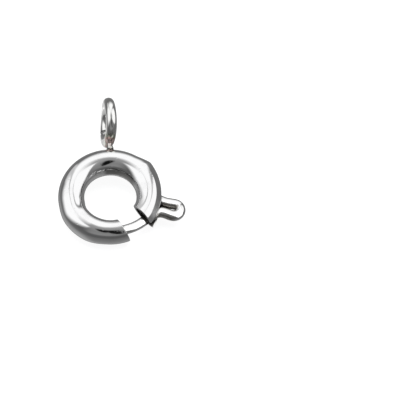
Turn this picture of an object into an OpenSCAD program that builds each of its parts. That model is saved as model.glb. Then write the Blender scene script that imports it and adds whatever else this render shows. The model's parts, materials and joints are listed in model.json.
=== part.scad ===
// Spring ring clasp, 6 mm size: a bent hollow tube with a gap, a sprung tongue
// that closes the gap and is drawn back by its thumb lever, and a soldered end ring.
// The origin is the centre of the ring. The clasp lies on a table: it rests on
// the near side of the tube and on the end ring, so the ring leans by rest_tilt.
// Angles in the ring's plane start at +X and run towards the end ring at 90.

/* [Ring] */
// Outer diameter of the ring
ring_d = 6; // [5.9:0.05:6.3]
// Outer diameter of the bent tube
tube_d = 1.5; // [1.46:0.01:1.6]
// Thickness of the tube's wall
wall_t = 0.18; // [0.14:0.01:0.2]

/* [Gap] */
// Angle of the lever arm's cut end, on the tube's centreline
lever_arm_a = -33; // [-36:0.5:-30]
// Turn of that cut away from square
lever_arm_skew = 17; // [0:1:20]
// Angle of the plain arm's cut end, on the tube's centreline
plain_arm_a = -67.7; // [-70:0.1:-66]
// Turn of that cut away from square
plain_arm_skew = 8; // [0:1:12]

/* [Slot] */
// Width of the slot along the outside of the lever arm
slot_w = 0.66; // [0.62:0.01:0.72]
// Angle at which the slot ends
slot_end_a = 46; // [45:1:50]

/* [Tongue] */
// Diameter of the tongue's wire
wire_d = 0.565; // [0.5:0.005:0.58]
// Angle of the tongue's tip, inside the plain arm
tip_a = -74.5; // [-76:0.5:-73]
// Angle of the tongue's tail, inside the spring
tail_a = 50; // [40:1:60]
// Angle of the thumb lever
lever_a = -12.6; // [-14:0.2:-12]
// Distance of the thumb lever's end from the ring's centre
lever_reach = 4.43; // [4.4:0.01:4.6]
// Radius of the lever's round end, on the wire's centreline
bulb_r = 0.4; // [0.38:0.01:0.44]
// Distance of each straight leg from the lever's axis
leg_offset = 0.36; // [0.34:0.01:0.37]
// Sideways shift of the lever's round end, towards the gap
bulb_shift = 0.03; // [0:0.01:0.05]
// Angle from the lever at which the tongue leaves the ring's circle
tongue_root_a = 55; // [53:1:57]
// Angle from the lever at which the tail leaves the ring's circle
tail_root_a = 28; // [26:1:28]

/* [Spring] */
// Diameter of the spring's wire
spring_wire_d = 0.14; // [0.12:0.01:0.14]
// Outer diameter of the spring's coils
spring_d = 1.0; // [0.98:0.01:1.02]
// Number of coils
spring_coils = 16; // [10:1:18]
// Angle at which the spring starts, behind the lever
spring_start_a = 17; // [16.5:0.5:20]
// Angle at which the spring ends, on its stop
spring_end_a = 148; // [130:1:150]

/* [End ring] */
// Outer diameter of the end ring
eye_d = 2.94; // [2.8:0.01:3.1]
// Diameter of the end ring's wire
eye_wire_d = 0.6; // [0.55:0.01:0.62]
// Distance of the end ring's centre from the centre of the clasp
eye_y = 4.78; // [4.72:0.01:4.86]
// Sideways shift of the end ring
eye_x = -0.1; // [-0.12:0.01:0.05]
// Lean of the end ring about the neck
eye_lean = 8.5; // [0:0.5:12]
// Place of the open seam round the end ring, 180 being the neck
seam_a = -95; // [-120:1:-80]
// Width of the open seam
seam_w = 0.08; // [0.05:0.01:0.2]

/* [Neck] */
// Diameter of the soldered neck
neck_d = 0.42; // [0.36:0.01:0.44]
// Sideways place of the neck
neck_x = -0.03; // [-0.06:0.01:0]
// Diameter of the solder where it spreads on the tube
neck_foot_d = 0.8; // [0.6:0.02:0.84]

/* [Hidden] */

// Radii of the tube and its bore, and of the ring's centreline
tube_r = tube_d / 2;
bore_r = tube_r - wall_t;
ring_r = ring_d / 2 - tube_r;
wire_r = wire_d / 2;
// Depth of the wedge that each cut takes off the tube's end
cut_depth = 0.9;
// Angle by which the uncut tube runs past each cut
spare_a = 8;
// Radial overlap of a stop with the tube's wall, and height of its flat top
stop_bite = 0.06;
stop_top = 0.1;
// Arc that a stop fills, and the play between the tongue's tip and its stop
stop_arc = 4;
tip_play = 0.5;

// End ring: centreline radius, wire radius and the arc that its seam takes out
eye_wire_r = eye_wire_d / 2;
eye_r = eye_d / 2 - eye_wire_r;
seam_arc = 2 * asin(seam_w / 2 / eye_r);
// Neck: it starts in the tube's wall and has a round end in the end ring's wire
neck_y0 = ring_r + tube_r - wall_t + 0.01;
neck_y1 = eye_y - eye_r - eye_wire_r / 2 - 0.05;
neck_foot_h = 0.26;
// Share of the neck's diameter that its solder foot narrows to
neck_foot_top = 0.9;
// Solder bead at the neck's end, a little wider than the neck
neck_end_d = 1.15 * neck_d;

// Lever: centre of its round end, and where each leg becomes straight, along its axis
bulb_c = lever_reach - wire_r - bulb_r;
tongue_top = 3.15;
tail_top = 3.25;
// Pull of each root's curve at the ring's circle and at the leg
tongue_pull = [1.6, 0.55];
tail_pull = [0.45, 0.45];

// Steps along the tongue's path and sides of its wire
tongue_root_steps = 26;
tail_root_steps = 14;
leg_steps = 5;
bulb_steps = 16;
arc_step_a = 3;
wire_sides = 16;
// Rounded ends: steps, length as a share of the wire's radius, and the smallest ring
tip_steps = 4;
tip_round = 0.8;
tip_least = 0.06;
tip_arc = tip_round * wire_r / ring_r * 180 / PI;

// Spring: coil radius, facets and the pitch of its closed end coils
coil_r = (spring_d - spring_wire_d) / 2;
coil_steps = 14;
spring_sides = 6;
closed_pitch_a = 1.15 * spring_wire_d / ring_r * 180 / PI;
open_pitch_a = (spring_end_a - spring_start_a - 2 * closed_pitch_a) / (spring_coils - 2);

fine = 96;
big = 20;

// Lean of the resting clasp: the near side of the tube and the end ring both
// touch the table
function lean(t, n) =
    n == 0 ? t : lean(asin((eye_drop(t) - tube_r) / (eye_y + ring_r)), n - 1);
function eye_drop(t) =
    eye_wire_r + eye_r * sqrt(pow(sin(t), 2) + pow(cos(t) * cos(eye_lean), 2));
rest_tilt = lean(5, 6);

function polar(r, a) = [r * cos(a), r * sin(a)];
function smooth(x) = x * x * (3 - 2 * x);
function bezier(p, t) =
    pow(1 - t, 3) * p[0] + 3 * pow(1 - t, 2) * t * p[1]
    + 3 * (1 - t) * t * t * p[2] + pow(t, 3) * p[3];

// Tongue's path in the lever's own axes: x out along the lever, y across it. side
// is -1 for the leg next to the gap and 1 for the tail's leg. Each root is one
// smooth curve from the ring's circle to the straight leg.
function root_curve(side, from_a, top_x, pull) =
    let (start = polar(ring_r, side * from_a))
    let (top = [top_x, side * leg_offset])
    [start, start + pull[0] * [sin(from_a), -side * cos(from_a)], top - [pull[1], 0], top];
function root_points(curve, steps) = [for (i = [0:steps - 1]) bezier(curve, i / steps)];
tongue_root = root_curve(-1, tongue_root_a, tongue_top, tongue_pull);
tail_root = root_curve(1, tail_root_a, tail_top, tail_pull);
function leg_points(from_x, from_y, to_y) =
    [for (i = [0:leg_steps - 1])
        let (t = i / leg_steps)
        [from_x + t * (bulb_c - from_x), from_y + smooth(t) * (to_y - from_y)]];
function bulb_points() =
    [for (i = [0:bulb_steps])
        [bulb_c, -bulb_shift] + polar(bulb_r, -90 + 180 * i / bulb_steps)];
function reversed(list) = [for (i = [len(list) - 1:-1:0]) list[i]];
function lever_points() = concat(
    root_points(tongue_root, tongue_root_steps),
    leg_points(tongue_top, -leg_offset, -bulb_r - bulb_shift),
    bulb_points(),
    reversed(leg_points(tail_top, leg_offset, bulb_r - bulb_shift)),
    reversed(root_points(tail_root, tail_root_steps)));
function turned(p, a) = [p[0] * cos(a) - p[1] * sin(a), p[0] * sin(a) + p[1] * cos(a)];

// Rows of [x, y, share of the wire's radius], from the tip to the tail
function row(p, share) = [p[0], p[1], share];
function tip_turn(k) = tip_arc * (1 - sin(90 * k / tip_steps));
function tip_share(k) = max(tip_least, cos(90 * k / tip_steps));
front_arc = lever_a - tongue_root_a - tip_a - tip_arc;
back_arc = tail_a - lever_a - tail_root_a - tip_arc;
front_steps = ceil(front_arc / arc_step_a);
back_steps = ceil(back_arc / arc_step_a);
tongue_rows = concat(
    [for (k = [tip_steps:-1:1]) row(polar(ring_r, tip_a + tip_turn(k)), tip_share(k))],
    [for (i = [0:front_steps - 1])
        row(polar(ring_r, tip_a + tip_arc + front_arc * i / front_steps), 1)],
    [for (p = lever_points()) row(turned(p, lever_a), 1)],
    [for (i = [1:back_steps])
        row(polar(ring_r, lever_a + tail_root_a + back_arc * i / back_steps), 1)],
    [for (k = [1:tip_steps]) row(polar(ring_r, tail_a - tip_turn(k)), tip_share(k))]);

// Direction of a row of points, from its neighbours
function heading(rows, i, axes) =
    let (a = rows[max(i - 1, 0)])
    let (b = rows[min(i + 1, len(rows) - 1)])
    let (d = [for (k = [0:axes - 1]) b[k] - a[k]])
    d / norm(d);

// Faces of a swept tube of n rings with m sides, closed by flat ends
function tube_faces(n, m) = concat(
    [[for (j = [0:m - 1]) j]],
    [for (i = [0:n - 2]) for (j = [0:m - 1])
        [i * m + j, (i + 1) * m + j, i * m + (j + 1) % m]],
    [for (i = [0:n - 2]) for (j = [0:m - 1])
        [(i + 1) * m + j, (i + 1) * m + (j + 1) % m, i * m + (j + 1) % m]],
    [[for (j = [m - 1:-1:0]) (n - 1) * m + j]]);

// Angle round the ring after a number of coils, with a closed coil at each end
function coil_angle(turns) =
    spring_start_a + closed_pitch_a * (min(turns, 1) + max(turns - spring_coils + 1, 0))
    + open_pitch_a * min(max(turns - 1, 0), spring_coils - 2);
function coil_out(turns) =
    let (a = coil_angle(turns))
    [cos(360 * turns) * cos(a), cos(360 * turns) * sin(a), sin(360 * turns)];
function coil_point(turns) =
    let (a = coil_angle(turns))
    ring_r * [cos(a), sin(a), 0] + coil_r * coil_out(turns);
coil_rings = spring_coils * coil_steps + 1;
coil_path = [for (i = [0:coil_rings - 1]) coil_point(i / coil_steps)];

// Part of a bent round bar between two angles
module arc_bar(bend_r, bar_r, from_a, to_a) {
    rotate([0, 0, from_a])
        rotate_extrude(angle = to_a - from_a, $fn = fine)
            translate([bend_r, 0])
                circle(r = bar_r, $fn = fine);
}

// Block that takes off one end of the tube: its face lies on the cut, and side
// is 1 where the gap is on the cut's clockwise side
module end_cut(mouth_a, skew, side) {
    translate([ring_r * cos(mouth_a), ring_r * sin(mouth_a), 0])
        rotate([0, 0, mouth_a + skew])
            translate([-tube_d, side > 0 ? -cut_depth : 0, -tube_d])
                cube([2 * tube_d, cut_depth, 2 * tube_d]);
}

// Slot along the outside of the lever arm, from its cut end to a square end
module slot_cut() {
    from_a = lever_arm_a - 3 * spare_a;
    rotate([0, 0, from_a])
        rotate_extrude(angle = slot_end_a - from_a, $fn = fine)
            translate([ring_r, -slot_w / 2])
                square([2 * tube_r, slot_w]);
}

// Half-moon pressed into the bore, which stops the spring or the tongue
module stop(from_a) {
    intersection() {
        arc_bar(ring_r, bore_r + stop_bite, from_a, from_a + stop_arc);
        translate([-big / 2, -big / 2, stop_top - big])
            cube([big, big, big]);
    }
}

// Bent tube with its cut ends, slot, bore and stops
module bent_tube() {
    end_from = lever_arm_a - spare_a;
    end_to = 360 + plain_arm_a + spare_a;
    difference() {
        arc_bar(ring_r, tube_r, end_from, end_to);
        arc_bar(ring_r, bore_r, end_from - 1, end_to + 1);
        slot_cut();
        end_cut(lever_arm_a, -lever_arm_skew, 1);
        end_cut(plain_arm_a, plain_arm_skew, -1);
    }
    stop(spring_end_a + 0.5);
    stop(tip_a - tip_play - stop_arc);
}

// End ring with its open seam
module eye() {
    translate([eye_x, eye_y, 0])
        rotate([0, eye_lean, 0])
            rotate([90, 0, 90])
                arc_bar(eye_r, eye_wire_r, seam_a + seam_arc / 2, seam_a - seam_arc / 2 + 360);
}

// Neck that solder joins to the tube and to the end ring
module neck() {
    translate([neck_x, neck_y0, 0])
        rotate([-90, 0, 0]) {
            cylinder(d1 = neck_foot_d, d2 = neck_foot_top * neck_d, h = neck_foot_h, $fn = fine);
            cylinder(d = neck_d, h = neck_y1 - neck_y0, $fn = fine);
            translate([0, 0, neck_y1 - neck_y0])
                sphere(d = neck_end_d, $fn = fine);
        }
}

module ring_body() {
    color([0.80, 0.80, 0.81])
        rotate([rest_tilt, 0, 0])
            union() {
                bent_tube();
                eye();
                neck();
            }
}

// Tongue, thumb lever and tail, bent from one wire
module tongue() {
    points = [for (i = [0:len(tongue_rows) - 1])
        let (row = tongue_rows[i])
        let (h = heading(tongue_rows, i, 2))
        for (j = [0:wire_sides - 1])
            let (a = 360 * j / wire_sides)
            let (r = wire_r * row[2])
            [row[0] + r * cos(a) * h[1], row[1] - r * cos(a) * h[0], r * sin(a)]];
    color([0.84, 0.84, 0.85])
        rotate([rest_tilt, 0, 0])
            polyhedron(points, tube_faces(len(tongue_rows), wire_sides), convexity = 8);
}

// Coil spring round the tongue's tail
module spring() {
    points = [for (i = [0:coil_rings - 1])
        let (h = heading(coil_path, i, 3))
        let (out = coil_out(i / coil_steps))
        let (up = cross(h, out) / norm(cross(h, out)))
        let (side = cross(up, h))
        for (j = [0:spring_sides - 1])
            let (a = 360 * j / spring_sides)
            coil_path[i] + spring_wire_d / 2 * (cos(a) * side + sin(a) * up)];
    color([0.70, 0.70, 0.72])
        rotate([rest_tilt, 0, 0])
            polyhedron(points, tube_faces(coil_rings, spring_sides), convexity = 20);
}

ring_body();
tongue();
spring();
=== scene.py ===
"""Spring ring clasp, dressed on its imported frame.

The ring's tube, the wires and the coil spring are swept by Geometry Nodes trees that are
built here, and the soldered neck is lofted between the tube and the end ring. Sizes are in
millimetres and degrees in the ring's own plane, whose angles start at +X and run towards
the end ring. Each finished mesh is leaned by the angle at which the clasp rests, and is in
metres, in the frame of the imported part.
"""

import json
import logging
import math
from dataclasses import dataclass, field
from enum import Enum
from typing import Any, Callable, Optional, Sequence, Union

import bmesh
import bpy
from mathutils import Matrix, Vector


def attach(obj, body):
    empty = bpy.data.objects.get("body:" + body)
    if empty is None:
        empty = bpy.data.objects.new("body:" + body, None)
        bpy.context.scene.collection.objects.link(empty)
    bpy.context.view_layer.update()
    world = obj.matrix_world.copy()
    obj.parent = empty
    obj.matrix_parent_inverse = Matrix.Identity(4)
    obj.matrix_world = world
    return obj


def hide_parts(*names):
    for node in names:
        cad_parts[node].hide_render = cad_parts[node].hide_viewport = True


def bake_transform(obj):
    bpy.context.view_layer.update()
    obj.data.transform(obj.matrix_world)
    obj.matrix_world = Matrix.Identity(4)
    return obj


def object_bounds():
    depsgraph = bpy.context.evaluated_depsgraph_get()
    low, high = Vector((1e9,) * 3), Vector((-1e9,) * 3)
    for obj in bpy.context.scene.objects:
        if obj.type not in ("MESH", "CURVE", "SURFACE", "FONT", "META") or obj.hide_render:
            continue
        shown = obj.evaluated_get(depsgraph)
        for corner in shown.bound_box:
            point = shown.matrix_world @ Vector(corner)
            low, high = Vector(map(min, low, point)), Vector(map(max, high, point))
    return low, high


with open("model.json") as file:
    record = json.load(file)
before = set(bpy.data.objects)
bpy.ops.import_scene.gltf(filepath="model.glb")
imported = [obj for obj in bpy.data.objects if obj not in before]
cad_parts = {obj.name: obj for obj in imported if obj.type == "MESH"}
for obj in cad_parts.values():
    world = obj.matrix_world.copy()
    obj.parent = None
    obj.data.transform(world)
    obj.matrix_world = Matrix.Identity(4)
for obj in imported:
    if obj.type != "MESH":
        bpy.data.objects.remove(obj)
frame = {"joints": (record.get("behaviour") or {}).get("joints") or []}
CAD_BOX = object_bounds()

LOG = logging.getLogger("clasp")
MM = 0.001
TO_DEGREES = 180 / math.pi
LEAN = math.atan2(-frame["joints"][0]["axis"][1], frame["joints"][0]["axis"][2])
LEANED = Matrix.Rotation(LEAN, 4, "X")
DOUBLES = 1e-8
SHARP = math.radians(40.0)

# A span runs from where a soft edge is 0 to where it is 1, levels are pairs of an angle and a
# grey, and a noise is its scale, detail and roughness.
Span = tuple[float, float]
Spans = tuple[Span, ...]
Levels = tuple[tuple[float, float], ...]
Place = tuple[float, float, float]
Colour = tuple[float, float, float]
Noise = tuple[float, float, float]


class Body(Enum):
    """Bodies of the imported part."""

    RING = "ring"
    TONGUE = "tongue"


class Finish(Enum):
    """Material slots of the record."""

    TUBE = "polished_steel"
    WIRE = "wire_steel"
    SPRING = "spring_steel"


# Node trees


class Wire:
    """An output socket that adds Math nodes when it is used in a sum."""

    def __init__(self, graph: "Graph", socket: bpy.types.NodeSocket) -> None:
        """Keep the socket and the graph that it belongs to."""
        self.graph = graph
        self.socket = socket

    def __add__(self, other: "Term") -> "Wire":
        """Return self + other."""
        return self.graph.math("ADD", self, other)

    def __radd__(self, other: "Term") -> "Wire":
        """Return other + self."""
        return self.graph.math("ADD", other, self)

    def __sub__(self, other: "Term") -> "Wire":
        """Return self - other."""
        return self.graph.math("SUBTRACT", self, other)

    def __rsub__(self, other: "Term") -> "Wire":
        """Return other - self."""
        return self.graph.math("SUBTRACT", other, self)

    def __mul__(self, other: "Term") -> "Wire":
        """Return self * other."""
        return self.graph.math("MULTIPLY", self, other)

    def __rmul__(self, other: "Term") -> "Wire":
        """Return other * self."""
        return self.graph.math("MULTIPLY", other, self)

    def __truediv__(self, other: "Term") -> "Wire":
        """Return self / other."""
        return self.graph.math("DIVIDE", self, other)

    def __rtruediv__(self, other: "Term") -> "Wire":
        """Return other / self."""
        return self.graph.math("DIVIDE", other, self)

    def __pow__(self, other: "Term") -> "Wire":
        """Return self ** other."""
        return self.graph.math("POWER", self, other)

    def __neg__(self) -> "Wire":
        """Return -self."""
        return self.graph.math("MULTIPLY", self, -1.0)


Term = Union[Wire, float, int]


class Graph:
    """A node tree whose nodes come from one method."""

    def __init__(self, tree: bpy.types.NodeTree) -> None:
        """Keep the tree."""
        self.tree = tree

    def node(
        self,
        kind: str,
        settings: Optional[dict[str, Any]] = None,
        inputs: Optional[dict[Union[str, int], Any]] = None,
    ) -> bpy.types.Node:
        """Add a node.

        Args:
            kind: The node's type.
            settings: Its settings, set first; "stops" are a ramp's (place, colour) pairs.
            inputs: Values or links of its sockets, by name or number.

        Returns:
            The node.
        """
        made = self.tree.nodes.new(kind)
        for name, value in (settings or {}).items():
            if name == "stops":
                self._stops(made.color_ramp, value)
            else:
                setattr(made, name, value)
        for key, value in (inputs or {}).items():
            self.feed(made.inputs[key], value)
        return made

    @staticmethod
    def _stops(ramp: bpy.types.ColorRamp, stops: Sequence[tuple[float, Colour]]) -> None:
        """Give a ramp its stops.

        Args:
            ramp: The ramp.
            stops: Place and colour of each stop.
        """
        while len(ramp.elements) < len(stops):
            ramp.elements.new(0.5)
        for element, (place_on, colour) in zip(ramp.elements, stops):
            element.position = place_on
            element.color = (*colour, 1.0)

    def feed(self, socket: bpy.types.NodeSocket, value: Any) -> None:
        """Link a socket or set its value.

        Args:
            socket: The input socket.
            value: A wire, a list of wires, or a plain value.
        """
        if isinstance(value, Wire):
            self.tree.links.new(value.socket, socket)
        elif isinstance(value, list):
            for each in value:
                self.feed(socket, each)
        else:
            socket.default_value = value

    def wire(
        self,
        kind: str,
        settings: Optional[dict[str, Any]] = None,
        inputs: Optional[dict[Union[str, int], Any]] = None,
        output: Union[str, int] = 0,
    ) -> Wire:
        """Add a node and return one of its outputs as a wire."""
        return Wire(self, self.node(kind, settings, inputs).outputs[output])

    def math(self, operation: str, a: Term, b: Optional[Term] = None) -> Wire:
        """Add one Math node and return its value."""
        terms = {0: a} if b is None else {0: a, 1: b}
        return self.wire("ShaderNodeMath", {"operation": operation}, terms)

    def sin(self, angle: Term) -> Wire:
        """Return the sine of an angle in radians."""
        return self.math("SINE", angle)

    def cos(self, angle: Term) -> Wire:
        """Return the cosine of an angle in radians."""
        return self.math("COSINE", angle)

    def size(self, value: Term) -> Wire:
        """Return a value without its sign."""
        return self.math("ABSOLUTE", value)

    def least(self, a: Term, b: Term) -> Wire:
        """Return the smaller of two values."""
        return self.math("MINIMUM", a, b)

    def most(self, a: Term, b: Term) -> Wire:
        """Return the larger of two values."""
        return self.math("MAXIMUM", a, b)

    def hypot(self, first: Wire, *others: Wire) -> Wire:
        """Return the length that sides at right angles make.

        Args:
            first: One side.
            *others: One or two more sides.

        Returns:
            The length.
        """
        total = first * first
        for side in others:
            total = total + side * side
        return self.math("SQRT", total)

    def blend(self, low: Term, high: Term, share: Term) -> Wire:
        """Return low + (high - low) * share."""
        return low + (high - low) * share

    def step(self, value: Term, start: float, end: float) -> Wire:
        """Return a smooth step from 0 at start to 1 at end."""
        ends = {"Value": value, "From Min": start, "From Max": end}
        return self.wire("ShaderNodeMapRange", {"interpolation_type": "SMOOTHSTEP"}, ends)

    def zone(self, values: Sequence[Term], spans: Spans) -> Wire:
        """Return the product of smooth steps.

        Args:
            values: Value of each step.
            spans: Where each step is 0 and where it is 1.

        Returns:
            1 inside the zone, 0 outside it.
        """
        share, *others = (self.step(value, *span) for value, span in zip(values, spans))
        for other in others:
            share = share * other
        return share

    def noise(self, where: Wire, kind: Noise) -> Wire:
        """Return a noise of about 0 to 1, of the given scale, detail and roughness."""
        sockets = {"Vector": where, "Scale": kind[0], "Detail": kind[1], "Roughness": kind[2]}
        return self.wire("ShaderNodeTexNoise", {"noise_dimensions": "3D"}, sockets)

    def vector(self, x: Term, y: Term, z: Term) -> Wire:
        """Return a vector of three values."""
        return self.wire("ShaderNodeCombineXYZ", None, {0: x, 1: y, 2: z})

    def parts(self, vector: Wire) -> tuple[Wire, ...]:
        """Return the three values of a vector."""
        split = self.node("ShaderNodeSeparateXYZ", None, {0: vector})
        return tuple(Wire(self, output) for output in split.outputs)

    def tint(self, share: Term, low: Any, high: Any, mode: str = "MIX") -> Wire:
        """Mix two colours.

        Args:
            share: Share of the second colour.
            low: The first colour, a wire or a tuple.
            high: The second colour, a wire or a tuple.
            mode: How they are mixed.

        Returns:
            The mixed colour.
        """
        made = self.node("ShaderNodeMix", {"data_type": "RGBA", "blend_type": mode})
        for key, value in (("Factor_Float", share), ("A_Color", low), ("B_Color", high)):
            socket = next(s for s in made.inputs if s.identifier == key)
            self.feed(socket, (*value, 1.0) if isinstance(value, tuple) else value)
        return Wire(self, next(s for s in made.outputs if s.type == "RGBA"))


class ShapeTree(Graph):
    """A Geometry Nodes tree with named inputs."""

    KINDS = {float: "NodeSocketFloat", int: "NodeSocketInt", bpy.types.Material: "NodeSocketMaterial"}

    def __init__(self, name: str, material: bpy.types.Material, values: dict[str, Any]) -> None:
        """Make the tree and its interface.

        Args:
            name: Name of the tree.
            material: Material of the result, the input "Material".
            values: Value of each other named input, a float or an int.
        """
        super().__init__(bpy.data.node_groups.new(name, "GeometryNodeTree"))
        self.values = {**values, "Material": material}
        sockets = self.tree.interface
        sockets.new_socket("Geometry", in_out="INPUT", socket_type="NodeSocketGeometry")
        for label, value in self.values.items():
            sockets.new_socket(label, in_out="INPUT", socket_type=self.KINDS[type(value)])
        sockets.new_socket("Geometry", in_out="OUTPUT", socket_type="NodeSocketGeometry")
        self.entry = self.tree.nodes.new("NodeGroupInput")

    def __getitem__(self, label: str) -> Wire:
        """Return a named input as a wire."""
        return Wire(self, self.entry.outputs[label])

    def turned(self, bend: Wire, span: Span) -> Wire:
        """Return a smooth step between two angles, given in degrees."""
        return self.step(bend, math.radians(span[0]), math.radians(span[1]))

    def sweep(self, line: Wire, share: Term = 1.0) -> None:
        """End the tree in a round wire.

        Args:
            line: The curve that the wire follows.
            share: Share of the wire's radius along it.
        """
        disc = self.wire("GeometryNodeCurvePrimitiveCircle", {"mode": "RADIUS"},
                         {"Resolution": self["Sides"], "Radius": self["Wire Radius"]})
        self.close(self.wire("GeometryNodeCurveToMesh", None, {
            "Curve": line, "Profile Curve": disc, "Scale": share, "Fill Caps": True}))

    def close(self, geometry: Wire) -> None:
        """End the tree in Realize Instances and Set Material.

        Args:
            geometry: The shape.
        """
        smooth = self.wire("GeometryNodeSetShadeSmooth", None, {0: geometry})
        real = self.wire("GeometryNodeRealizeInstances", None, {0: smooth})
        dressed = self.wire("GeometryNodeSetMaterial", None, {0: real, "Material": self["Material"]})
        self.node("NodeGroupOutput", None, {0: dressed})

    def plain_mesh(self, name: str, seed: Optional[bpy.types.Mesh] = None) -> bpy.types.Object:
        """Evaluate the tree once and keep the result as a plain mesh.

        Args:
            name: Name of the finished piece.
            seed: Mesh that the tree reads, or None.

        Returns:
            The piece's object, with no modifier and its faces outwards.
        """
        carrier = bpy.data.objects.new(name + "_tree", seed or bpy.data.meshes.new(name + "_seed"))
        bpy.context.scene.collection.objects.link(carrier)
        modifier = carrier.modifiers.new("shape", "NODES")
        modifier.node_group = self.tree
        for item in self.tree.interface.items_tree:
            if item.in_out == "INPUT" and item.name in self.values:
                modifier[item.identifier] = self.values[item.name]
        bpy.context.view_layer.update()
        evaluated = carrier.evaluated_get(bpy.context.evaluated_depsgraph_get())
        mesh = bpy.data.meshes.new_from_object(evaluated)
        mesh.name = name
        bpy.data.objects.remove(carrier)
        outward(mesh)
        return place(name, mesh)


def place(name: str, data: bpy.types.ID) -> bpy.types.Object:
    """Put an object in the scene, at the origin.

    Args:
        name: Name of the object.
        data: Its mesh, light or camera.

    Returns:
        The object.
    """
    made = bpy.data.objects.new(name, data)
    bpy.context.scene.collection.objects.link(made)
    return made


def mesh_of(
    name: str, points: Sequence[Sequence[float]], faces: Sequence[Sequence[int]], material: bpy.types.Material
) -> bpy.types.Mesh:
    """Make a mesh from points and faces.

    Args:
        name: Name of the mesh.
        points: Its points in metres.
        faces: The numbers of each face's points.
        material: Its material.

    Returns:
        The mesh.
    """
    mesh = bpy.data.meshes.new(name)
    mesh.from_pydata([tuple(p) for p in points], [], [tuple(f) for f in faces])
    mesh.update()
    mesh.materials.append(material)
    return mesh


def smoothed(mesh: bpy.types.Mesh) -> None:
    """Shade every face smoothly."""
    mesh.polygons.foreach_set("use_smooth", [True] * len(mesh.polygons))


def rounded(piece: bpy.types.Object, width: float, segments: int = 2) -> None:
    """Round a piece's sharp edges and apply the result.

    Args:
        piece: The piece, at the origin.
        width: Width of the bevel in millimetres.
        segments: Steps across the bevel.
    """
    bevel = piece.modifiers.new("edges", "BEVEL")
    bevel.width = width * MM
    bevel.segments = segments
    bevel.limit_method = "ANGLE"
    bevel.angle_limit = SHARP
    bevel.use_clamp_overlap = True
    bpy.context.view_layer.update()
    evaluated = piece.evaluated_get(bpy.context.evaluated_depsgraph_get())
    old, piece.data = piece.data, bpy.data.meshes.new_from_object(evaluated)
    piece.modifiers.clear()
    bpy.data.meshes.remove(old)
    smoothed(piece.data)


def outward(mesh: bpy.types.Mesh) -> None:
    """Merge doubles and turn every face outwards.

    Args:
        mesh: The mesh that is changed.
    """
    work = bmesh.new()
    work.from_mesh(mesh)
    bmesh.ops.remove_doubles(work, verts=work.verts, dist=DOUBLES)
    bmesh.ops.recalc_face_normals(work, faces=work.faces)
    work.to_mesh(mesh)
    work.free()


def at_angle(radius: float, angle: float, height: float = 0.0) -> Vector:
    """Return the point at a radius and an angle in degrees."""
    turn = math.radians(angle)
    return Vector((radius * math.cos(turn), radius * math.sin(turn), height))


def eased(t: float) -> float:
    """Return a share from 0 to 1 that starts and stops slowly."""
    return t * t * (3 - 2 * t)


# The ring


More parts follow.
